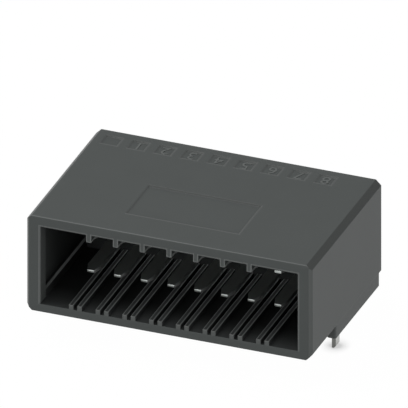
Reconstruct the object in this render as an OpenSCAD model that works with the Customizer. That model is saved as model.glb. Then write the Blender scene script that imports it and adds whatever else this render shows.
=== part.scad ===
// Right-angle two-row pin header for a circuit board: a one-piece moulded housing,
// two rows of bent blade contacts and two solder anchors.
// Frame: x runs across the columns, y from the mating face to the back, z up.
// The origin lies under the middle of the housing, level with the tips of the solder tails.

/* [Contact layout] */
// Contact columns in each row
columns = 8; // [3:1:12]
// Distance between neighbouring columns
pitch = 3.81; // [3.5:0.01:6]
// Distance between the lower and the upper row
row_gap = 5.08; // [4:0.01:6]
// Height of the lower row above the cavity floor
lower_row_rise = 3.05; // [2:0.05:4]

/* [Contact blades] */
// Thickness of the strip that the contacts are stamped from
strip_t = 0.6; // [0.4:0.02:0.8]
// Width of a blade
blade_w = 1.8; // [1.2:0.05:2.2]
// Distance from the mating face back to the blade tips
tip_setback = 5.7; // [3:0.1:9]
// Length of the taper at a blade tip
blade_taper_l = 1.3; // [0.6:0.1:2.5]
// Width of the flat at a blade tip
blade_tip_w = 0.95; // [0.5:0.05:1.2]
// Thickness of the flat at a blade tip
blade_tip_t = 0.4; // [0.2:0.02:0.6]
// Width of the shoulder that seats in the partition
shoulder_w = 2.4; // [2.3:0.05:3]
// Length of the shoulder
shoulder_l = 1.2; // [0.6:0.1:2]

/* [Solder tails] */
// Width of a tail
tail_w = 1.0; // [0.6:0.05:1.6]
// Length of the tails below the board seat
tail_reach = 1.92; // [1.5:0.02:4]
// Inside radius of the bend
bend_r = 0.5; // [0.3:0.05:0.7]
// Distance from the back of the partition to the middle of the lower row's tails
lower_tail_back = 1.7; // [1.6:0.05:2.2]
// Distance between the two rows of tails
tail_row_gap = 2.54; // [1.8:0.01:3.2]
// Length of the taper at a tail tip
tail_taper_l = 0.6; // [0.2:0.05:1.2]
// Width of the flat at a tail tip
tail_tip_w = 0.6; // [0.3:0.05:1]
// Thickness of the flat at a tail tip
tail_tip_t = 0.36; // [0.2:0.02:0.6]

/* [Housing] */
// Distance from the outermost column to the side face
end_margin = 6.985; // [6:0.005:9]
// Thickness of the side walls
side_wall = 2.0; // [1.7:0.02:2.6]
// Thickness of the top wall
top_wall = 1.57; // [1:0.01:2.5]
// Thickness of the cavity floor
floor_t = 1.15; // [0.9:0.05:2]
// Height of the cavity from floor to ceiling
cavity_h = 11.62; // [10.5:0.01:14]
// Depth of the cavity from the mating face to the partition
cavity_d = 17.2; // [14:0.1:20]
// Thickness of the partition that carries the contacts
partition_t = 3.0; // [2.4:0.1:4]
// Depth of the open chamber behind the partition
chamber_d = 5.64; // [5.2:0.02:8]
// Chamfer along the four long edges
long_edge_chamfer = 0.76; // [0.4:0.02:0.9]
// Chamfer on the two upright edges of the mating face
upright_edge_chamfer = 0.4; // [0.1:0.05:0.9]
// Chamfer along the top edge of the mating face
brow_chamfer = 0.14; // [0.1:0.02:0.6]
// Lead-in chamfer round the top and the sides of the mouth
mouth_chamfer = 0.12; // [0.1:0.02:0.6]

/* [Guide ribs] */
// Width of a floor rib
floor_rib_w = 0.66; // [0.4:0.02:0.8]
// Height of a floor rib
floor_rib_h = 0.68; // [0.3:0.02:1]
// Distance between the middles of the two floor ribs under a column
floor_rib_spread = 1.2; // [1:0.05:1.6]
// Width of a ceiling rib
ceiling_rib_w = 0.73; // [0.4:0.01:1.2]
// Height of a ceiling rib
ceiling_rib_h = 1.03; // [0.4:0.01:1.2]

/* [Latch pockets] */
// Depth of the lip between the mating face and a pocket
lip_d = 2.3; // [1.5:0.1:4]
// Depth of a pocket into its side wall
pocket_recess = 0.6; // [0.3:0.05:0.8]
// Height of a pocket's ledge above the cavity floor
ledge_rise = 1.4; // [1.2:0.05:2.5]
// Chamfer on the free edges of the lip and the ledge
pocket_chamfer = 0.25; // [0.1:0.05:0.45]

/* [Foot rails] */
// Height that the rails hold the housing off the board
standoff = 1.68; // [1:0.02:3]
// Width of a rail
rail_w = 1.3; // [1:0.05:1.65]
// Distance that a rail stands in from the side face
rail_inset = 0.33; // [0.1:0.01:0.35]
// Distance from the mating face to the front end of the rails
rail_start = 9.85; // [5:0.05:14]
// Radius of the rails' front corners
rail_corner_r = 0.3; // [0.1:0.05:0.45]

/* [Solder anchors] */
// Thickness of an anchor, across the rail
anchor_t = 0.58; // [0.4:0.02:0.8]
// Width of an anchor, along the rail
anchor_w = 1.4; // [0.8:0.02:1.6]
// Distance from the front end of the rail to the middle of the anchor
anchor_back = 1.65; // [1.1:0.05:3]
// Height of the anchor's seat above the underside of the housing
anchor_seat_rise = 1.9; // [1:0.1:2]
// Height of the bevel on the anchor's outer side
anchor_bevel_h = 0.34; // [0.2:0.02:1]
// Width of the flat at the anchor's tip
anchor_tip_w = 0.3; // [0.1:0.02:0.36]

/* [Top face] */
// Width of the bare panel recess
panel_w = 15.8; // [6:0.1:24]
// Length of the bare panel recess
panel_l = 8.1; // [4:0.1:12]
// Distance from the mating face to the middle of the panel recess
panel_back = 9.3; // [6:0.1:11]
// Width of a position pad recess
pad_w = 2.1; // [1.4:0.1:2.8]
// Length of a position pad recess
pad_l = 2.0; // [1.4:0.1:2.8]
// Distance from the back face to the middle of the position pads
pad_front = 2.5; // [2:0.05:4]
// Depth of the recesses in the top face
recess_depth = 0.2; // [0.1:0.02:0.3]

/* [Fits] */
// Clearance on each side of a contact or an anchor in its slot
fit = 0.02; // [0.01:0.01:0.05]

/* [Hidden] */
$fn = 48;
plastic_colour = "#525655";
contact_colour = "#c9cac6";
anchor_colour = "#b9bab6";
// Length by which cuts run past the faces that they open
cut = 0.5;
columns_span = (columns - 1) * pitch;
body_w = columns_span + 2 * end_margin;
body_d = cavity_d + partition_t + chamber_d;
body_h = floor_t + cavity_h + top_wall;
mouth_w = body_w - 2 * side_wall;
ceiling_z = floor_t + cavity_h;
partition_back = cavity_d + partition_t;
body_lift = tail_reach + standoff;
lower_row_z = floor_t + lower_row_rise;
upper_row_z = lower_row_z + row_gap;
lower_tail_y = partition_back + lower_tail_back;
upper_tail_y = lower_tail_y + tail_row_gap;
shoulder_front = partition_back - shoulder_l;
rail_x = body_w / 2 - rail_inset - rail_w / 2;
anchor_y = rail_start + anchor_back;
column_x = [for (i = [0:columns - 1]) i * pitch - columns_span / 2];
gap_x = [for (i = [0:columns - 2]) (i + 0.5) * pitch - columns_span / 2];
floor_rib_x = [for (x = column_x, side = [-1, 1]) x + side * floor_rib_spread / 2];
// The key pad stands one pitch outside the first column
pad_x = concat([column_x[0] - pitch], column_x);
numbers = [for (i = [1:columns]) i];

// Moves a shape drawn from the bottom middle of the mating face to its place
module at_mating_face() {
    translate([0, -body_d / 2, body_lift]) children();
}

// Extrudes an (x, z) profile along y
module along_y(from, to) {
    translate([0, to, 0]) rotate([90, 0, 0]) linear_extrude(to - from) children();
}

// Extrudes a (y, z) profile along x, centred
module along_x(width) {
    rotate([90, 0, 90]) linear_extrude(width, center = true) children();
}

// Repeats a shape on the other side of the middle plane
module both_sides() {
    children();
    mirror([1, 0, 0]) children();
}

// Outer block: front profile, plan and side profile, each with its own chamfers
module body_block() {
    half_w = body_w / 2;
    c = long_edge_chamfer;
    u = upright_edge_chamfer;
    intersection() {
        along_y(0, body_d) polygon([
            [-half_w, c], [-half_w + c, 0], [half_w - c, 0], [half_w, c],
            [half_w, body_h - c], [half_w - c, body_h], [-half_w + c, body_h], [-half_w, body_h - c]
        ]);
        linear_extrude(body_h) polygon([
            [-half_w + u, 0], [half_w - u, 0], [half_w, u],
            [half_w, body_d], [-half_w, body_d], [-half_w, u]
        ]);
        along_x(body_w) polygon([
            [0, 0], [body_d, 0], [body_d, body_h],
            [brow_chamfer, body_h], [0, body_h - brow_chamfer]
        ]);
    }
}

// Rail that rests on the board, its front corners rounded; it runs up into the long edge's chamfer
module foot_rail() {
    r = rail_corner_r;
    translate([rail_x, rail_start, -standoff]) linear_extrude(standoff + long_edge_chamfer) {
        for (side = [-1, 1]) translate([side * (rail_w / 2 - r), r]) circle(r);
        translate([r - rail_w / 2, 0]) square([rail_w - 2 * r, 2 * r]);
        translate([-rail_w / 2, r]) square([rail_w, body_d - rail_start - r]);
    }
}

// Section of a rib that stands on y = 0, its foot sunk below it
module rib_section(w, h, foot) {
    translate([-w / 2, -foot]) square([w, h + foot]);
}

// Sections of the guide ribs on the floor and the ceiling of the cavity
module guide_ribs(foot) {
    for (x = floor_rib_x) translate([x, floor_t]) rib_section(floor_rib_w, floor_rib_h, foot);
    for (x = gap_x) translate([x, ceiling_z]) mirror([0, 1]) rib_section(ceiling_rib_w, ceiling_rib_h, foot);
}

// Section of the plug cavity, notched by the guide ribs
module cavity_section() {
    difference() {
        translate([-mouth_w / 2, floor_t]) square([mouth_w, cavity_h]);
        guide_ribs(cut);
    }
}

// Lead-in at the mouth: top and sides, left out across the guide ribs
module mouth_lead_in() {
    c = mouth_chamfer;
    half_w = mouth_w / 2;
    flare = c + cut;
    difference() {
        intersection() {
            translate([0, 0, floor_t]) linear_extrude(cavity_h + flare) polygon([
                [-half_w - flare, -cut], [half_w + flare, -cut], [half_w, c], [-half_w, c]
            ]);
            along_x(mouth_w + 2 * flare) polygon([
                [-cut, floor_t], [c, floor_t], [c, ceiling_z], [-cut, ceiling_z + flare]
            ]);
        }
        along_y(-2 * cut, c + cut) guide_ribs(flare + cut);
    }
}

// Pocket in the right side wall behind the lip: its plan and its section carry the edge chamfers
module latch_pocket() {
    c = pocket_chamfer;
    lead = c + cut;
    translate([mouth_w / 2, 0, 0]) intersection() {
        translate([0, 0, floor_t]) linear_extrude(cavity_h) polygon([
            [-cut, lip_d - lead], [c, lip_d], [pocket_recess, lip_d],
            [pocket_recess, cavity_d], [-cut, cavity_d]
        ]);
        translate([0, 0, floor_t + ledge_rise]) along_y(0, cavity_d) polygon([
            [-cut, -lead], [c, 0], [pocket_recess, 0],
            [pocket_recess, cavity_h - ledge_rise], [-cut, cavity_h - ledge_rise]
        ]);
    }
}

// Chamber for the bent tails, open at the back and underneath
module tail_chamber() {
    translate([-mouth_w / 2, partition_back, -cut]) cube([mouth_w, chamber_d + cut, ceiling_z + cut]);
}

// Stepped slot through the partition for one contact
module contact_slot() {
    slot_h = strip_t + 2 * fit;
    along_y(cavity_d - cut, partition_back) square([blade_w + 2 * fit, slot_h], center = true);
    along_y(shoulder_front, partition_back + cut) square([shoulder_w + 2 * fit, slot_h], center = true);
}

// Blind slot for the right anchor, up through the rail into the side wall
module anchor_slot() {
    slot = [anchor_t + 2 * fit, anchor_w + 2 * fit];
    translate([rail_x, anchor_y, -standoff - cut]) linear_extrude(standoff + cut + anchor_seat_rise)
        square(slot, center = true);
}

// Shallow recess in the top face with walls sloping at 45 degrees
module top_recess(w, l) {
    floor_z = body_h - recess_depth;
    spread = recess_depth + cut;
    intersection() {
        along_y(-l / 2 - spread, l / 2 + spread) polygon([
            [-w / 2, floor_z], [w / 2, floor_z],
            [w / 2 + spread, body_h + cut], [-w / 2 - spread, body_h + cut]
        ]);
        along_x(w + 2 * spread) polygon([
            [-l / 2, floor_z], [l / 2, floor_z],
            [l / 2 + spread, body_h + cut], [-l / 2 - spread, body_h + cut]
        ]);
    }
}

// Housing moulded in one piece
module housing() {
    color(plastic_colour) at_mating_face() difference() {
        union() {
            body_block();
            both_sides() foot_rail();
        }
        along_y(-cut, cavity_d) cavity_section();
        mouth_lead_in();
        both_sides() latch_pocket();
        tail_chamber();
        for (x = column_x, z = [lower_row_z, upper_row_z]) translate([x, 0, z]) contact_slot();
        both_sides() anchor_slot();
        translate([0, panel_back, 0]) top_recess(panel_w, panel_l);
        for (x = pad_x) translate([x, body_d - pad_front, 0]) top_recess(pad_w, pad_l);
    }
}

// Outline of a bar that starts at a blunt point on y = 0
module pointed_outline(w, tip_w, taper_l, length) {
    polygon([
        [-tip_w / 2, 0], [tip_w / 2, 0], [w / 2, taper_l],
        [w / 2, length], [-w / 2, length], [-w / 2, taper_l]
    ]);
}

// Flat bar along y, its point tapered in width and in thickness
module pointed_bar(w, tip_w, tip_t, taper_l, length) {
    intersection() {
        linear_extrude(2 * strip_t, center = true) pointed_outline(w, tip_w, taper_l, length);
        rotate([0, 90, 0]) linear_extrude(2 * w, center = true)
            pointed_outline(strip_t, tip_t, taper_l, length);
    }
}

// Contact stamped from strip: blade, shoulder, bend and tail, drawn at height z of its row
module contact(row_z, tail_y) {
    bend_middle = bend_r + strip_t / 2;
    bend_y = tail_y - bend_middle;
    tail_length = row_z - bend_middle + body_lift;
    color(contact_colour) at_mating_face() union() {
        translate([0, tip_setback, row_z])
            pointed_bar(blade_w, blade_tip_w, blade_tip_t, blade_taper_l, shoulder_front - tip_setback);
        translate([-shoulder_w / 2, shoulder_front, row_z - strip_t / 2])
            cube([shoulder_w, shoulder_l, strip_t]);
        translate([-tail_w / 2, partition_back, row_z - strip_t / 2])
            cube([tail_w, bend_y - partition_back, strip_t]);
        translate([0, bend_y, row_z - bend_middle]) rotate([90, 0, 90]) rotate_extrude(angle = 90)
            translate([bend_r, -tail_w / 2]) square([strip_t, tail_w]);
        translate([0, tail_y, -body_lift]) rotate([90, 0, 0])
            pointed_bar(tail_w, tail_tip_w, tail_tip_t, tail_taper_l, tail_length);
    }
}

module lower_pin(number) {
    translate([column_x[number - 1], 0, 0]) contact(lower_row_z, lower_tail_y);
}

module upper_pin(number) {
    translate([column_x[number - 1], 0, 0]) contact(upper_row_z, upper_tail_y);
}

// Solder anchor pressed up into the right rail; its outer side is bevelled to a blunt point
module solder_anchor() {
    inner = -anchor_t / 2;
    outer = anchor_t / 2;
    length = body_lift + anchor_seat_rise;
    color(anchor_colour) at_mating_face() translate([rail_x, anchor_y, -body_lift])
        along_y(-anchor_w / 2, anchor_w / 2) polygon([
            [inner, 0], [inner + anchor_tip_w, 0], [outer, anchor_bevel_h],
            [outer, length], [inner, length]
        ]);
}

module solder_anchor_right() {
    solder_anchor();
}

module solder_anchor_left() {
    mirror([1, 0, 0]) solder_anchor();
}

housing();
for (i = numbers) lower_pin(i);
for (i = numbers) upper_pin(i);
solder_anchor_left();
solder_anchor_right();
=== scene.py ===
"""Looks of a right-angle pin header: eased plastic and stamped-metal edges, raised position numbers,
moulded and plated finishes with painted light and shade in many tones, and a white studio with a parallel
camera."""
import math

import bmesh
import bpy
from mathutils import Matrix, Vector


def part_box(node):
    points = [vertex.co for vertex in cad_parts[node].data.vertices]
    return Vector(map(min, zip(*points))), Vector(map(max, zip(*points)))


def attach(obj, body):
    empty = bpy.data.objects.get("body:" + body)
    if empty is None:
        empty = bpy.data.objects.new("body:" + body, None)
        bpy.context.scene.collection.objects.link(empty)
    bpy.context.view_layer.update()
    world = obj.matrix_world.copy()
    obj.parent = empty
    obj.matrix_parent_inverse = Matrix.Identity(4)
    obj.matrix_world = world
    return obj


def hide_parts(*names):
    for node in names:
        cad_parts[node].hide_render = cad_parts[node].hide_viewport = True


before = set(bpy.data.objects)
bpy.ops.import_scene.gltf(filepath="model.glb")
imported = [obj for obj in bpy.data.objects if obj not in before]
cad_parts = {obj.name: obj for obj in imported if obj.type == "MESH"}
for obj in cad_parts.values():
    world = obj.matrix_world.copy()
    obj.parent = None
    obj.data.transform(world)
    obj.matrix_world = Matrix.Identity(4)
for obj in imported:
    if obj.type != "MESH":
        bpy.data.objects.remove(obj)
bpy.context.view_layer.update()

MM = 0.001
BODY = "root"

# Places that the frame gives, in metres
HOUSING_LOW, HOUSING_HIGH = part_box("housing")
FRONT = HOUSING_LOW.y
COLUMNS = len([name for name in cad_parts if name.startswith("lower_pin_")])
FIRST_COLUMN = sum(corner.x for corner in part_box("lower_pin_1")) / 2
LAST_COLUMN = sum(corner.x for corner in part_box(f"lower_pin_{COLUMNS}")) / 2
PITCH = (LAST_COLUMN - FIRST_COLUMN) / (COLUMNS - 1)

# Sizes of the housing's shell and its outer chamfers
RAIL_HEIGHT = 1.68 * MM
FLOOR_THICKNESS = 1.15 * MM
SIDE_THICKNESS = 2.0 * MM
LONG_CHAMFER = 0.76 * MM
UPRIGHT_CHAMFER = 0.4 * MM
BROW_CHAMFER = 0.14 * MM
MOUTH_CHAMFER = 0.12 * MM

# Sizes of the plug cavity: floor ribs stand in pairs under the columns, and teeth are the ribs that
# hang from the ceiling between the columns
CAVITY_HEIGHT = 11.62 * MM
CAVITY_DEPTH = 17.2 * MM
RIB_HEIGHT = 0.68 * MM
RIB_WIDTH = 0.66 * MM
RIB_SPREAD = 1.2 * MM
TOOTH_HEIGHT = 1.03 * MM
TOOTH_WIDTH = 0.73 * MM

# Sizes of the latch pockets: the lip before each is flat to this depth and then chamfered
LIP_DEPTH = 2.05 * MM
LEDGE_RISE = 1.4 * MM
POCKET_RECESS = 0.6 * MM
POCKET_CHAMFER = 0.25 * MM

# Places that follow from the sizes
UNDERSIDE = HOUSING_LOW.z + RAIL_HEIGHT
CAVITY_FLOOR = UNDERSIDE + FLOOR_THICKNESS
CEILING = CAVITY_FLOOR + CAVITY_HEIGHT
TOOTH_BOTTOM = CEILING - TOOTH_HEIGHT
LEDGE_TOP = CAVITY_FLOOR + LEDGE_RISE
MOUTH_HALF = HOUSING_HIGH.x - SIDE_THICKNESS
RIBS = [FIRST_COLUMN + i * PITCH + side * RIB_SPREAD / 2 for i in range(COLUMNS) for side in (-1, 1)]
TEETH = [FIRST_COLUMN + (i + 0.5) * PITCH for i in range(COLUMNS - 1)]

# Recesses of the top face, one panel and a row of pads: x, y, width and length of the floor. Their
# walls slope at 45 degrees
RECESS_DEPTH = 0.2 * MM
PANEL_FROM_FRONT = 9.3 * MM
PANEL_WIDTH = 15.8 * MM
PANEL_LENGTH = 8.1 * MM
PAD_FROM_BACK = 2.5 * MM
PAD_WIDTH = 2.1 * MM
PAD_LENGTH = 2.0 * MM
PANEL = (0.0, FRONT + PANEL_FROM_FRONT, PANEL_WIDTH, PANEL_LENGTH)
PADS = [
    (FIRST_COLUMN + i * PITCH, HOUSING_HIGH.y - PAD_FROM_BACK, PAD_WIDTH, PAD_LENGTH)
    for i in range(-1, COLUMNS)
]

# Position numbers, raised in the pads of the top face and read from behind
NUMBER_SIZE = 2.7 * MM
NUMBER_RELIEF = 0.05 * MM
NUMBER_SINK = 0.03 * MM

# Edge radii left by the mould and by the stamping die, and the angles that tell an edge to ease, a flat
# seam and an edge that stays sharp in the shading
MOULD_EASE = 0.06 * MM
STAMP_EASE = 0.03 * MM
EASE_SEGMENTS = 2
EASE_ANGLE = math.radians(25)
FLAT_ANGLE = math.radians(1)
SHARP_ANGLE = math.radians(35)
MERGE_DISTANCE = 0.0005 * MM

# Widths of the painted highlight lines along the edges of recesses, floor ribs, mouth and teeth, and the
# height above the cavity floor from which the edges of the mouth are painted pale
RIM_FRONT = 0.24 * MM
RIM_RIGHT = 0.18 * MM
RIB_LINE = 0.14 * MM
MOUTH_LINE = 0.14 * MM
TOOTH_LINE = 0.28 * MM
EDGE_RISE = 0.3 * MM

# Where those lines end
RIB_LINE_FROM = RIB_WIDTH / 2 - RIB_LINE
TOOTH_LINE_FROM = TOOTH_WIDTH / 2 - MOUTH_LINE
TOOTH_LINE_RISE = CAVITY_HEIGHT - TOOTH_HEIGHT + TOOTH_LINE
MOUTH_LINE_TOP = CEILING + MOUTH_CHAMFER + MOUTH_LINE
MOUTH_LINE_SIDE = MOUTH_HALF + MOUTH_CHAMFER + MOUTH_LINE

# Places of the housing's materials, skin and painted light and shade, on its mesh, in the order of
# housing_materials
(SKIN, EDGE, RIM, LINE, RECESS, TOOTH, RIB, RIB_EDGE,
 PAINTED_FLOOR_SHADE, PAINTED_END_WALL_SHADE, SIDE_WALL, LIP, LEDGE) = range(13)

# How near to a plane a face lies in it, and the room left around a form for its eased edges
NEAR = 0.01 * MM
SLACK = 0.1 * MM

# How far a face's normal points along an axis, from 0 to 1: a face that is square to the axis, nearly
# square, at 45 degrees, turned to it at least halfway, leaning to it, and hardly at all
SQUARE = 0.999
NEARLY_SQUARE = 0.95
MITRE_LOW = 0.6
MITRE_HIGH = 0.8
TURNED = 0.5
LEANING = 0.3
HARDLY = 0.1

# The same for the coined flanks of a blade's tip: towards the front, and to the side
FLANK_FRONT_LOW = 0.2
FLANK_FRONT_HIGH = 0.5
FLANK_SIDE = 0.8

# Moulded plastic: slow clouds from the flow in the mould, and an etched grain. The real grain is some
# hundredths of a millimetre wide, and it is drawn about a pixel wide so that it shows. Deep faces get
# less gloss, and painted shade darkens the pocket walls over the last stretch above the ledge
CLOUD_SIZE = 5 * MM
CLOUD_DETAIL = 2.0
GRAIN_SIZE = 0.16 * MM
GRAIN_DETAIL = 3.0
GRAIN_RELIEF = 0.004 * MM
GRAIN_STRENGTH = 0.25
PBT_IOR = 1.5
PBT_ROUGHNESS = (0.46, 0.56)
PBT_SPECULAR = 0.34
POCKET_SPECULAR = 0.2
DEEP_SPECULAR = 0.1
POCKET_SHADE = 1.5 * MM

# Plated strip: rolling lines, long and narrow. The real ones are some micrometres wide, and they are
# drawn coarser so that they show
ROLL_DETAIL = 3.0
ACROSS_LINES = 1 / (0.1 * MM)
ALONG_LINES = 1 / (3 * MM)
TIN_METALLIC = 0.85
TIN_ROUGHNESS = (0.26, 0.34)
COINED_ROUGHNESS = (0.62, 0.7)

# Paper floor: half its width, how far below it a second sheet lies, and how much of it is seen as lit
# white rather than as paper
FLOOR_HALF = 1200 * MM
FLOOR_DROP = 30 * MM
PAPER_COLOUR = "#a4a4a4"
WHITE_SHARE = 0.97

# Contact shade of the floor: its reach, which ends just under the foot rails, the openness at which it
# is deepest, and the strength of the white there and in the open
SHADE_REACH = 0.97 * HOUSING_LOW.z
SHADE_SAMPLES = 16
SHADE_OPENNESS = 0.68
SHADE_DEEPEST = 0.62
SHADE_NONE = 1.02

# Studio light: strength of the pale dome; place and size in metres and power in watts of each panel
DOME_STRENGTH = 0.55
PANELS = {
    "overhead_panel": ((-0.4, 0.03, 0.62), 0.5, 3.35),
    "front_panel": ((-0.12, -0.77, 0.12), 0.4, 2.1),
    "right_panel": ((0.77, -0.12, 0.15), 0.4, 1.0),
}

# Parallel camera fitted to the photograph
VIEW_AZIMUTH = math.radians(21.113)
VIEW_ELEVATION = math.radians(28.399)
VIEW_WIDTH = 54.221 * MM
VIEW_RIGHT = 0.029 * MM
VIEW_UP = 14.871 * MM
VIEW_DISTANCE = 400 * MM
VIEW_CLIP = (1 * MM, 4 * VIEW_DISTANCE)


def linear(colour):
    """sRGB hex colour to linear RGBA."""
    channels = [int(colour[i:i + 2], 16) / 255 for i in (1, 3, 5)]
    return [c / 12.92 if c <= 0.04045 else ((c + 0.055) / 1.055) ** 2.4 for c in channels] + [1.0]


def node(tree, kind, settings=None, inputs=None):
    """Adds a node, sets its properties, and gives each named input a value or a link."""
    made = tree.nodes.new(kind)
    for name, value in (settings or {}).items():
        setattr(made, name, value)
    for name, value in (inputs or {}).items():
        socket = made.inputs[name]
        if isinstance(value, bpy.types.NodeSocket):
            tree.links.new(value, socket)
        else:
            socket.default_value = value
    return made


def new_material(name):
    """An empty node material and its tree."""
    material = bpy.data.materials.new(name)
    material.use_nodes = True
    material.node_tree.nodes.clear()
    return material, material.node_tree


def moulded_pbt(name, colour, cloud_colour, painted_fades=(), specular=PBT_SPECULAR):
    """Glass-filled PBT from an etched mould: a dull dark grey skin with a fine grain.
    Each fade is painted light or painted shade: it turns its tone into another colour along an axis, from
    one place to a second."""
    material, tree = new_material(name)
    place = node(tree, "ShaderNodeTexCoord").outputs["Object"]
    clouds = node(tree, "ShaderNodeTexNoise", inputs={
        "Vector": place, "Scale": 1 / CLOUD_SIZE, "Detail": CLOUD_DETAIL})
    tone = node(tree, "ShaderNodeMix", {"data_type": "RGBA"}, {
        "Factor": clouds.outputs["Fac"], "A": linear(colour), "B": linear(cloud_colour)}).outputs["Result"]
    for axis, start, end, painted_fade_colour in painted_fades:
        along = node(tree, "ShaderNodeSeparateXYZ", inputs={"Vector": place}).outputs[axis]
        share = node(tree, "ShaderNodeMapRange", inputs={
            "Value": along, "From Min": start, "From Max": end})
        tone = node(tree, "ShaderNodeMix", {"data_type": "RGBA"}, {
            "Factor": share.outputs["Result"], "A": tone, "B": linear(painted_fade_colour)}).outputs["Result"]
    grain = node(tree, "ShaderNodeTexNoise", inputs={
        "Vector": place, "Scale": 1 / GRAIN_SIZE, "Detail": GRAIN_DETAIL})
    gloss = node(tree, "ShaderNodeMapRange", inputs={
        "Value": grain.outputs["Fac"], "To Min": PBT_ROUGHNESS[0], "To Max": PBT_ROUGHNESS[1]})
    relief = node(tree, "ShaderNodeBump", inputs={
        "Strength": GRAIN_STRENGTH, "Distance": GRAIN_RELIEF, "Height": grain.outputs["Fac"]})
    skin = node(tree, "ShaderNodeBsdfPrincipled", inputs={
        "Base Color": tone, "Roughness": gloss.outputs["Result"], "IOR": PBT_IOR,
        "Specular IOR Level": specular, "Normal": relief.outputs["Normal"]})
    node(tree, "ShaderNodeOutputMaterial", inputs={"Surface": skin.outputs["BSDF"]})
    return material


def inwards(start, end, colour):
    """A fade of painted light or shade on a moulded surface between two depths behind the mating face, in
    millimetres.
    """
    return "Y", FRONT + start * MM, FRONT + end * MM, colour


def tin_plated(name, colour, dull_colour, roll_scale, roughness=TIN_ROUGHNESS):
    """Matt tin over stamped copper alloy: pale grey metal with faint rolling lines."""
    material, tree = new_material(name)
    place = node(tree, "ShaderNodeTexCoord").outputs["Object"]
    stretched = node(tree, "ShaderNodeMapping", inputs={"Vector": place, "Scale": roll_scale})
    lines = node(tree, "ShaderNodeTexNoise", inputs={
        "Vector": stretched.outputs["Vector"], "Scale": 1.0, "Detail": ROLL_DETAIL})
    tone = node(tree, "ShaderNodeMix", {"data_type": "RGBA"}, {
        "Factor": lines.outputs["Fac"], "A": linear(dull_colour), "B": linear(colour)})
    gloss = node(tree, "ShaderNodeMapRange", inputs={
        "Value": lines.outputs["Fac"], "To Min": roughness[0], "To Max": roughness[1]})
    metal = node(tree, "ShaderNodeBsdfPrincipled", inputs={
        "Base Color": tone.outputs["Result"], "Metallic": TIN_METALLIC,
        "Roughness": gloss.outputs["Result"]})
    node(tree, "ShaderNodeOutputMaterial", inputs={"Surface": metal.outputs["BSDF"]})
    return material


def link_object(name, data):
    """A new object in the scene."""
    made = bpy.data.objects.new(name, data)
    bpy.context.scene.collection.objects.link(made)
    return made


def applied(piece):
    """Replaces a piece's data by what its modifiers make of it."""
    seen = piece.evaluated_get(bpy.context.evaluated_depsgraph_get())
    finished = bpy.data.meshes.new_from_object(seen)
    piece.modifiers.clear()
    piece.data = finished
    finished.name = piece.name
    return finished


def eased_copy(cad_node, name, ease, materials, sort_faces):
    """A copy of a solid with its sharp edges eased, which stands for that solid."""
    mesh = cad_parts[cad_node].data.copy()
    edit = bmesh.new()
    edit.from_mesh(mesh)
    bmesh.ops.remove_doubles(edit, verts=edit.verts, dist=MERGE_DISTANCE)
    bmesh.ops.dissolve_limit(edit, angle_limit=FLAT_ANGLE, verts=edit.verts, edges=edit.edges)
    edit.to_mesh(mesh)
    edit.free()
    mesh.materials.clear()
    for material in materials:
        mesh.materials.append(material)
    piece = link_object(name, mesh)
    bevel = piece.modifiers.new("eased_edges", "BEVEL")
    bevel.width = ease
    bevel.segments = EASE_SEGMENTS
    bevel.limit_method = "ANGLE"
    bevel.angle_limit = EASE_ANGLE
    bevel.use_clamp_overlap = False
    # Marks the eased faces, which sort_faces then sorts
    bevel.material = EDGE
    finished = applied(piece)
    sort_faces(finished)
    finished.shade_smooth()
    finished.set_sharp_from_angle(angle=SHARP_ANGLE)
    piece.modifiers.new("flat_faces_stay_flat", "WEIGHTED_NORMAL").keep_sharp = True
    applied(piece)
    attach(piece, BODY)
    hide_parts(cad_node)


def rim_boxes():
    """Painted highlight strips of the top face by each recess's front and right edge: x, y ranges,
    material.
    """
    for x, y, width, length in [PANEL] + PADS:
        half_w = width / 2 + RECESS_DEPTH
        half_l = length / 2 + RECESS_DEPTH
        yield x - half_w, x + half_w + RIM_RIGHT, y - half_l - RIM_FRONT, y - half_l, LINE
        yield x + half_w, x + half_w + RIM_RIGHT, y - half_l - RIM_FRONT, y + half_l, RIM


def nearest(places, x):
    """Distance from x to the nearest of the places."""
    return min(abs(x - place) for place in places)


def on_top(face):
    """Whether a face lies in the top face."""
    return face.normal.z > SQUARE and face.calc_center_median().z > HOUSING_HIGH.z - NEAR


def on_front(face):
    """Whether a face lies in the mating face."""
    return face.normal.y < -SQUARE and face.calc_center_median().y < FRONT + NEAR


def on_rib_top(face):
    """Whether a face is the top of a floor rib."""
    x, _, z = face.calc_center_median()
    return face.normal.z > SQUARE and abs(x) < MOUTH_HALF and abs(z - CAVITY_FLOOR - RIB_HEIGHT) < NEAR


def on_mouth_side(face):
    """Whether a face lies in a side of the mouth, where the lip and the foot of the ledge are flush."""
    return abs(face.normal.x) > SQUARE and abs(abs(face.calc_center_median().x) - MOUTH_HALF) < NEAR


def on_tooth_side(face):
    """Whether a face is a side of a tooth."""
    x, _, z = face.calc_center_median()
    beside_tooth = nearest(TEETH, x) < TOOTH_WIDTH and TOOTH_BOTTOM < z < CEILING
    return abs(face.normal.x) > SQUARE and beside_tooth


def cut_faces(edit, chosen, axis, at):
    """Cuts the chosen faces where a coordinate has a value."""
    faces = [face for face in edit.faces if chosen(face)]
    parts = dict.fromkeys(part for face in faces for part in [face, *face.edges, *face.verts])
    place = Vector((0, 0, 0))
    place[axis] = at
    across = Vector((0, 0, 0))
    across[axis] = 1
    bmesh.ops.bisect_plane(edit, geom=list(parts), dist=MERGE_DISTANCE, plane_co=place, plane_no=across)


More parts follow.
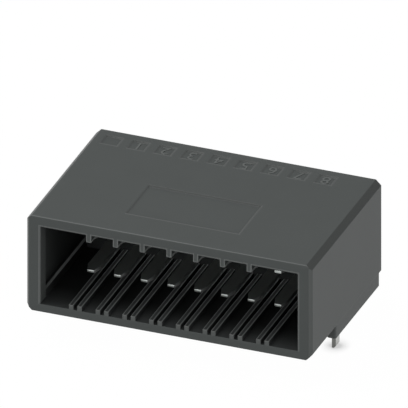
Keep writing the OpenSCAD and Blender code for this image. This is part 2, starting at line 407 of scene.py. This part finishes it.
def cut_painted_light_lines(mesh):
    """Cuts flat faces along the lines where the painted light and shade on them change."""
    edit = bmesh.new()
    edit.from_mesh(mesh)
    for low_x, high_x, low_y, high_y, _ in rim_boxes():
        for axis, at in ((0, low_x), (0, high_x), (1, low_y), (1, high_y)):
            cut_faces(edit, on_top, axis, at)
    for side in (-1, 1):
        for x in RIBS:
            cut_faces(edit, on_rib_top, 0, x + side * RIB_LINE_FROM)
        for x in TEETH:
            cut_faces(edit, on_front, 0, x + side * TOOTH_LINE_FROM)
        cut_faces(edit, on_front, 0, side * MOUTH_LINE_SIDE)
    for height in (CAVITY_FLOOR, TOOTH_BOTTOM + MOUTH_LINE, MOUTH_LINE_TOP):
        cut_faces(edit, on_front, 2, height)
    cut_faces(edit, on_tooth_side, 2, TOOTH_BOTTOM + TOOTH_LINE)
    cut_faces(edit, on_mouth_side, 1, FRONT + LIP_DEPTH)
    edit.to_mesh(mesh)
    edit.free()


def cavity_tone_with_painted_light(x, rise, inward, normal):
    """Which material a face inside the plug cavity gets: the skin, painted light or painted shade."""
    slanted = LEANING < abs(normal.x) < NEARLY_SQUARE and abs(normal.z) > LEANING
    between_sides = abs(x) < MOUTH_HALF - SLACK
    by_ledge = abs(rise - LEDGE_RISE) < POCKET_CHAMFER + SLACK
    if inward > CAVITY_DEPTH - SLACK:
        return PAINTED_END_WALL_SHADE
    if rise < RIB_HEIGHT - SLACK:
        return PAINTED_FLOOR_SHADE
    if rise < RIB_HEIGHT + SLACK and between_sides:
        return RIB_EDGE if slanted or nearest(RIBS, x) > RIB_LINE_FROM else RIB
    if slanted and by_ledge and abs(x) < MOUTH_HALF + POCKET_CHAMFER + SLACK:
        return LEDGE
    if rise < LEDGE_RISE - POCKET_CHAMFER - SLACK:
        return PAINTED_FLOOR_SHADE
    if rise > LEDGE_RISE + SLACK and (between_sides or abs(normal.x) < TURNED):
        low = abs(normal.x) > NEARLY_SQUARE and rise < TOOTH_LINE_RISE
        return TOOTH if slanted or low else SKIN
    return LIP if inward < LIP_DEPTH + POCKET_CHAMFER + SLACK else SIDE_WALL


def front_tone_with_painted_light(x, z):
    """Which material a face in the mating face gets: painted highlight lines along the edges of the mouth.
    """
    if not CAVITY_FLOOR < z < MOUTH_LINE_TOP or abs(x) > MOUTH_LINE_SIDE:
        return SKIN
    if z < CAVITY_FLOOR + RIB_HEIGHT and abs(x) < MOUTH_HALF:
        return RIM
    in_tooth = z > TOOTH_BOTTOM + MOUTH_LINE and nearest(TEETH, x) < TOOTH_LINE_FROM
    return SKIN if in_tooth else EDGE


def housing_tone_with_painted_light(face):
    """Which of the housing's materials a face of its mesh gets: the skin, painted light or painted shade.
    """
    x, y, z = face.center
    normal = face.normal
    eased = face.material_index == EDGE
    rise = z - CAVITY_FLOOR
    inward = y - FRONT
    below_top = HOUSING_HIGH.z - z
    from_side = HOUSING_HIGH.x - abs(x)
    lead_in = MOUTH_CHAMFER + SLACK
    in_mouth = abs(x) < MOUTH_HALF + POCKET_RECESS + SLACK and -SLACK < rise < CAVITY_HEIGHT + SLACK
    if in_mouth and lead_in < inward < CAVITY_DEPTH + SLACK:
        return cavity_tone_with_painted_light(x, rise, inward, normal)
    if normal.y < -SQUARE and inward < NEAR:
        return front_tone_with_painted_light(x, z)
    by_mouth = abs(x) < MOUTH_HALF + lead_in and EDGE_RISE < rise < CAVITY_HEIGHT + lead_in
    if by_mouth and inward < lead_in and normal.y > -NEARLY_SQUARE:
        return EDGE
    by_brow = max(inward, below_top) < BROW_CHAMFER + 2 * SLACK
    if by_brow and MITRE_LOW < normal.z < MITRE_HIGH:
        return EDGE
    upright = normal.z < HARDLY and MITRE_LOW < -normal.y < NEARLY_SQUARE
    if upright and from_side < UPRIGHT_CHAMFER + SLACK:
        return LINE
    if normal.y < -TURNED and z < UNDERSIDE:
        return RIM
    if min(abs(normal.x), normal.z) > TURNED and from_side < LONG_CHAMFER + SLACK:
        return RIM if x < 0 else RECESS
    inside_edges = from_side > LONG_CHAMFER + SLACK and inward > BROW_CHAMFER + 2 * SLACK
    in_recess = inside_edges and below_top < RECESS_DEPTH + SLACK
    if in_recess and min(-normal.y, normal.z) > LEANING:
        return RECESS
    if in_recess and (normal.x > LEANING or eased and normal.x < HARDLY):
        return RIM
    if normal.z > SQUARE and below_top < NEAR:
        for low_x, high_x, low_y, high_y, painted_line in rim_boxes():
            if low_x < x < high_x and low_y < y < high_y:
                return painted_line
    return SKIN


def paint_housing_light_and_shade(mesh):
    """Cuts the housing's faces where the painted light and shade change and sorts them among its
    materials.
    """
    cut_painted_light_lines(mesh)
    for face in mesh.polygons:
        face.material_index = housing_tone_with_painted_light(face)


def finish_contact(mesh):
    """The rolled faces keep the plating, and the flanks of the blade's tip are coined."""
    for face in mesh.polygons:
        to_front = FLANK_FRONT_LOW < -face.normal.y < FLANK_FRONT_HIGH
        face.material_index = 1 if to_front and abs(face.normal.x) > FLANK_SIDE else 0


def paint_anchor_edge_shade(mesh):
    """The rolled faces keep the plating, and the faces that the die sheared are duller: painted shade."""
    for face in mesh.polygons:
        face.material_index = 1 if abs(face.normal.y) > MITRE_LOW else 0


def number_tree(material):
    """Geometry Nodes tree: one digit on each column, filled, raised and closed underneath."""
    tree = bpy.data.node_groups.new("position_numbers", "GeometryNodeTree")
    wanted = {}
    for name, kind in (("Digits", "String"), ("Size", "Float"), ("Relief", "Float"),
                       ("Start", "Vector"), ("Step", "Vector"), ("Count", "Int")):
        socket = tree.interface.new_socket(name, in_out="INPUT", socket_type=f"NodeSocket{kind}")
        wanted[name] = socket.identifier
    tree.interface.new_socket("Geometry", in_out="OUTPUT", socket_type="NodeSocketGeometry")
    given = node(tree, "NodeGroupInput").outputs
    digits = node(tree, "GeometryNodeStringToCurves", {"align_x": "LEFT", "pivot_mode": "MIDPOINT"}, {
        "String": given["Digits"], "Size": given["Size"]})
    place = node(tree, "GeometryNodeInputPosition").outputs["Position"]
    middle = node(tree, "ShaderNodeVectorMath", {"operation": "ADD"}, {
        0: place, 1: digits.outputs["Pivot Point"]})
    back = node(tree, "ShaderNodeVectorMath", {"operation": "SCALE"}, {
        0: middle.outputs["Vector"], "Scale": -1.0})
    centred = node(tree, "GeometryNodeTranslateInstances", inputs={
        "Instances": digits.outputs["Curve Instances"], "Translation": back.outputs["Vector"],
        "Local Space": False})
    line = node(tree, "GeometryNodeMeshLine", inputs={
        "Count": given["Count"], "Start Location": given["Start"], "Offset": given["Step"]})
    order = node(tree, "GeometryNodeInputIndex").outputs["Index"]
    filled = node(tree, "GeometryNodeFillCurve", inputs={"Curve": centred.outputs["Instances"]})
    placed = node(tree, "GeometryNodeInstanceOnPoints", inputs={
        "Points": line.outputs["Mesh"], "Instance": filled.outputs["Mesh"],
        "Pick Instance": True, "Instance Index": order, "Rotation": (0, 0, math.pi)})
    flat = node(tree, "GeometryNodeRealizeInstances", inputs={"Geometry": placed.outputs["Instances"]})
    rise = node(tree, "ShaderNodeCombineXYZ", inputs={"Z": given["Relief"]})
    raised = node(tree, "GeometryNodeExtrudeMesh", inputs={
        "Mesh": flat.outputs["Geometry"], "Offset": rise.outputs["Vector"], "Individual": False})
    under = node(tree, "GeometryNodeFlipFaces", inputs={"Mesh": flat.outputs["Geometry"]})
    both = node(tree, "GeometryNodeJoinGeometry")
    for made in (raised, under):
        tree.links.new(made.outputs["Mesh"], both.inputs["Geometry"])
    closed = node(tree, "GeometryNodeMergeByDistance", inputs={
        "Geometry": both.outputs["Geometry"], "Distance": MERGE_DISTANCE})
    coated = node(tree, "GeometryNodeSetMaterial", inputs={
        "Geometry": closed.outputs["Geometry"], "Material": material})
    node(tree, "NodeGroupOutput", inputs={"Geometry": coated.outputs["Geometry"]})
    return tree, wanted


def build_numbers(material):
    """Raised numbers in the pads, from 1 on the first column, read from behind."""
    tree, wanted = number_tree(material)
    piece = link_object("position_numbers", bpy.data.meshes.new("position_numbers"))
    modifier = piece.modifiers.new("position_numbers", "NODES")
    modifier.node_group = tree
    level = HOUSING_HIGH.z - RECESS_DEPTH - NUMBER_SINK
    values = {
        "Digits": "".join(str(number) for number in range(1, COLUMNS + 1)),
        "Size": NUMBER_SIZE,
        "Relief": NUMBER_RELIEF + NUMBER_SINK,
        "Start": (FIRST_COLUMN, HOUSING_HIGH.y - PAD_FROM_BACK, level),
        "Step": (PITCH, 0.0, 0.0),
        "Count": COLUMNS,
    }
    for name, value in values.items():
        modifier[wanted[name]] = value
    applied(piece).shade_flat()
    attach(piece, BODY)


def build_camera():
    """Parallel camera at the photograph's angle and framing."""
    right = Vector((math.cos(VIEW_AZIMUTH), math.sin(VIEW_AZIMUTH), 0))
    back = Vector((
        math.sin(VIEW_AZIMUTH) * math.cos(VIEW_ELEVATION),
        -math.cos(VIEW_AZIMUTH) * math.cos(VIEW_ELEVATION),
        math.sin(VIEW_ELEVATION)))
    up = back.cross(right)
    data = bpy.data.cameras.new("photo_camera")
    data.type = "ORTHO"
    data.ortho_scale = VIEW_WIDTH
    data.clip_start, data.clip_end = VIEW_CLIP
    camera = link_object("photo_camera", data)
    camera.location = VIEW_RIGHT * right + VIEW_UP * up + VIEW_DISTANCE * back
    camera.rotation_euler = back.to_track_quat("Z", "Y").to_euler()
    bpy.context.scene.camera = camera


def seen_directly(tree):
    """1 for camera, glossy and transmission rays, 0 for the light that bounces."""
    ray = node(tree, "ShaderNodeLightPath").outputs
    camera_or_gloss = node(tree, "ShaderNodeMath", {"operation": "MAXIMUM"}, {
        0: ray["Is Camera Ray"], 1: ray["Is Glossy Ray"]})
    return node(tree, "ShaderNodeMath", {"operation": "MAXIMUM"}, {
        0: camera_or_gloss.outputs[0], 1: ray["Is Transmission Ray"]}).outputs[0]


def white_paper():
    """Matt studio paper, seen as white: it keeps a faint cast shadow and the contact shade of what
    stands on it, and it is clear from below."""
    material, tree = new_material("white_studio_paper")
    contact = node(tree, "ShaderNodeAmbientOcclusion", {"samples": SHADE_SAMPLES}, {
        "Distance": SHADE_REACH})
    shade = node(tree, "ShaderNodeMapRange", inputs={
        "Value": contact.outputs["AO"], "From Min": SHADE_OPENNESS,
        "To Min": SHADE_DEEPEST, "To Max": SHADE_NONE})
    lit = node(tree, "ShaderNodeEmission", inputs={"Strength": shade.outputs["Result"]})
    paper = node(tree, "ShaderNodeBsdfDiffuse", inputs={"Color": linear(PAPER_COLOUR)})
    share = node(tree, "ShaderNodeMath", {"operation": "MULTIPLY"}, {
        0: seen_directly(tree), 1: WHITE_SHARE})
    surface = node(tree, "ShaderNodeMixShader", inputs={
        "Fac": share.outputs[0], 1: paper.outputs[0], 2: lit.outputs[0]})
    from_below = node(tree, "ShaderNodeNewGeometry").outputs["Backfacing"]
    clear = node(tree, "ShaderNodeBsdfTransparent")
    one_sided = node(tree, "ShaderNodeMixShader", inputs={
        "Fac": from_below, 1: surface.outputs[0], 2: clear.outputs[0]})
    node(tree, "ShaderNodeOutputMaterial", inputs={"Surface": one_sided.outputs[0]})
    return material


def build_floor():
    """Paper floor, and a lower sheet that whitens what a low view sees under its front edge."""
    half = FLOOR_HALF
    corners = [(-half, -half), (half, -half), (half, half), (-half, half)]
    points = [(x, y, level) for level in (0, -FLOOR_DROP) for x, y in corners]
    mesh = bpy.data.meshes.new("studio_floor")
    mesh.from_pydata(points, [], [(0, 1, 2, 3), (4, 5, 6, 7)])
    mesh.materials.append(white_paper())
    link_object("studio_floor", mesh)


def build_light():
    """Soft studio light: a pale dome, a panel overhead and weaker ones low in front and at the right."""
    world = bpy.data.worlds.new("studio_dome")
    bpy.context.scene.world = world
    world.use_nodes = True
    background = world.node_tree.nodes["Background"]
    background.inputs["Color"].default_value = (1, 1, 1, 1)
    background.inputs["Strength"].default_value = DOME_STRENGTH
    for name, (place, size, power) in PANELS.items():
        data = bpy.data.lights.new(name, "AREA")
        data.size = size
        data.energy = power
        lamp = link_object(name, data)
        lamp.location = place
        lamp.rotation_euler = Vector(place).to_track_quat("Z", "Y").to_euler()


housing_materials = [
    # Etched outer skin: an even, dull dark grey
    moulded_pbt("moulded_pbt_skin", "#3c403f", "#404443"),
    # Chamfers and border of the mouth, and the brow: pale lines of painted highlight along the corners
    moulded_pbt("moulded_pbt_edge_painted_highlight", "#606362", "#656867"),
    # Right rims of the recesses, fronts of ribs and rails, left long chamfer: a step paler, painted light
    moulded_pbt("moulded_pbt_rim_painted_light", "#464948", "#4a4d4c"),
    # Front rims of the recesses and the upright chamfers: a fine line, paler again, a painted highlight
    moulded_pbt("moulded_pbt_line_painted_highlight", "#4d504f", "#505352"),
    # Recess walls that face the front, and the right long chamfer: a step darker than the skin, painted
    # shade
    moulded_pbt("moulded_pbt_recess_painted_shade", "#373a39", "#393c3b"),
    # Lower edges of the teeth: the palest lines in the mouth, a painted highlight
    moulded_pbt("moulded_pbt_tooth_painted_highlight", "#898c8b", "#8c8f8e"),
    # Tops of the floor ribs: dull bands, paler with depth as painted light so that they still read in the
    # dark
    # Their tone at the mouth is a little darker than the skin, which is painted shade
    moulded_pbt("moulded_pbt_rib", "#363838", "#383a3a", [inwards(8, 16, "#666968")]),
    # Edges of the floor ribs: painted highlight lines, paler with depth, that run on into the dark
    moulded_pbt("moulded_pbt_rib_edge_painted_highlight", "#686b6a", "#6b6e6d", [
        inwards(1, 8, "#868988"), inwards(9, 16, "#d8dbda")]),
    # Cavity floor: painted shade, dark grey at the mouth and almost black behind it, with little gloss
    moulded_pbt("moulded_pbt_floor_painted_shade", "#3a3c3c", "#3c3e3e", [
        inwards(0.8, 5.6, "#1e1f1f")], DEEP_SPECULAR),
    # End wall of the cavity: painted shade, almost black, with little gloss
    moulded_pbt("moulded_pbt_end_wall_painted_shade", "#2a2c2c", "#2c2e2e", specular=DEEP_SPECULAR),
    # Walls of the latch pockets: painted shade, dark grey that deepens inwards and down to the ledge
    moulded_pbt("moulded_pbt_side_wall_painted_shade", "#454847", "#484b4a", [
        inwards(2, 8, "#2e3030"),
        ("Z", LEDGE_TOP + POCKET_SHADE, LEDGE_TOP, "#242626")], POCKET_SPECULAR),
    # Lips before the latch pockets: a mid-grey band beside the mouth, painted light
    moulded_pbt("moulded_pbt_lip_painted_light", "#505352", "#525554"),
    # Edges of the pocket ledges: a painted highlight line that grows paler inwards
    moulded_pbt("moulded_pbt_ledge_painted_highlight", "#383b3a", "#3b3e3d", [inwards(0, 13, "#969998")]),
]
# Faces of the raised numbers: painted light, a little paler than the pads, so that they can just be read
number_painted_light = moulded_pbt("moulded_pbt_number_painted_light", "#545756", "#575a59")
# Rolled faces of the contacts: pale satin metal with faint lines along the blade and down the tail
contact_plating = tin_plated(
    "tin_plated_contact", "#a9aeab", "#a1a6a3", (ACROSS_LINES, ALONG_LINES, ALONG_LINES))
# Coined flanks of the blade tips: matt metal that catches the light from any side
contact_flank = tin_plated(
    "coined_contact_flank", "#989a99", "#919392", (ALONG_LINES, ALONG_LINES, ACROSS_LINES),
    COINED_ROUGHNESS)
# Rolled faces of the anchors: pale satin metal with faint lines that run down
anchor_plating = tin_plated(
    "tin_plated_anchor", "#b6b7b4", "#acadaa", (ACROSS_LINES, ACROSS_LINES, ALONG_LINES))
# Sheared edges of the anchors: duller, darker metal, painted shade, with faint lines across
anchor_edge_shade = tin_plated(
    "anchor_edge_painted_shade", "#71726f", "#696a67", (ALONG_LINES, ALONG_LINES, ACROSS_LINES))

eased_copy("housing", "housing_moulding", MOULD_EASE, housing_materials, paint_housing_light_and_shade)
build_numbers(number_painted_light)
for row in ("lower", "upper"):
    for number in range(1, COLUMNS + 1):
        eased_copy(f"{row}_pin_{number}", f"{row}_contact_{number}", STAMP_EASE,
                   [contact_plating, contact_flank], finish_contact)
for side in ("left", "right"):
    eased_copy(f"solder_anchor_{side}", f"anchor_{side}", STAMP_EASE,
               [anchor_plating, anchor_edge_shade], paint_anchor_edge_shade)

build_floor()
build_light()
build_camera()
bpy.context.scene.view_settings.view_transform = "Standard"
